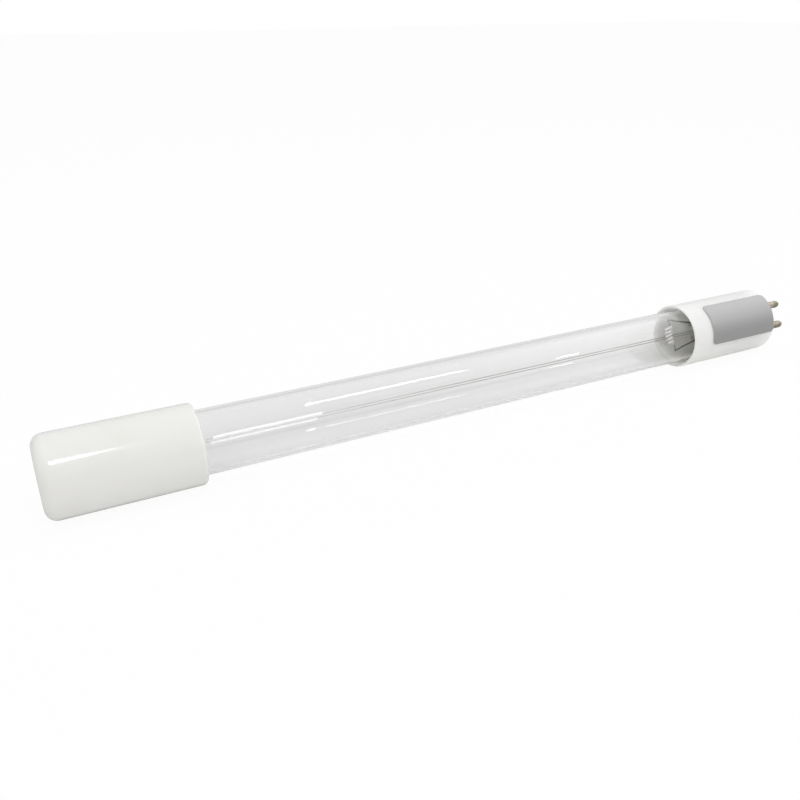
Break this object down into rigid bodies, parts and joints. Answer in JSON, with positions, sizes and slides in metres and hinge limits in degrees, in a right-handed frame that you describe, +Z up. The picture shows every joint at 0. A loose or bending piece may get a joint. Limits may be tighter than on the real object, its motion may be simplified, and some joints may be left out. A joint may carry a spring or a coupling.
{
  "type": "germicidal lamp",
  "caption": "Single-ended ultraviolet germicidal lamp: clear glass tube with a coiled cathode at each end, a closed ceramic cap, and a ceramic base with contact pins.",
  "frame": {"origin": "on the resting surface, under the middle of the lamp's overall length, pins included", "axes": "+X along the lamp's axis towards the pins, +Z up, with the lamp lying on its side"},
  "size_m": [0.2206, 0.0194, 0.0195],
  "materials": {
    "clear_glass": "clear, polished",
    "glazed_ceramic": "white glaze",
    "tarnished_brass": "plain, tarnished",
    "silver_film": "satin silver",
    "coated_tungsten": "matt coating",
    "nickel_wire": "drawn wire",
    "bonding_cement": "matt"
  },
  "bodies": {
    "root": {"glass_tube": "clear_glass", "end_cap": "glazed_ceramic", "base_shell": "glazed_ceramic", "contact_pin_front_upper": "tarnished_brass", "contact_pin_front_lower": "tarnished_brass", "contact_pin_back_upper": "tarnished_brass", "contact_pin_back_lower": "tarnished_brass", "rating_label": "silver_film", "base_stem": "clear_glass", "end_stem": "clear_glass", "base_cathode": "coated_tungsten", "end_cathode": "coated_tungsten", "base_lead_upper": "nickel_wire", "base_lead_lower": "nickel_wire", "end_lead_upper": "nickel_wire", "end_lead_lower": "nickel_wire", "return_wire_upper": "nickel_wire", "return_wire_lower": "nickel_wire", "base_cement": "bonding_cement", "end_cap_cement": "bonding_cement"}
  },
  "joints": []
}
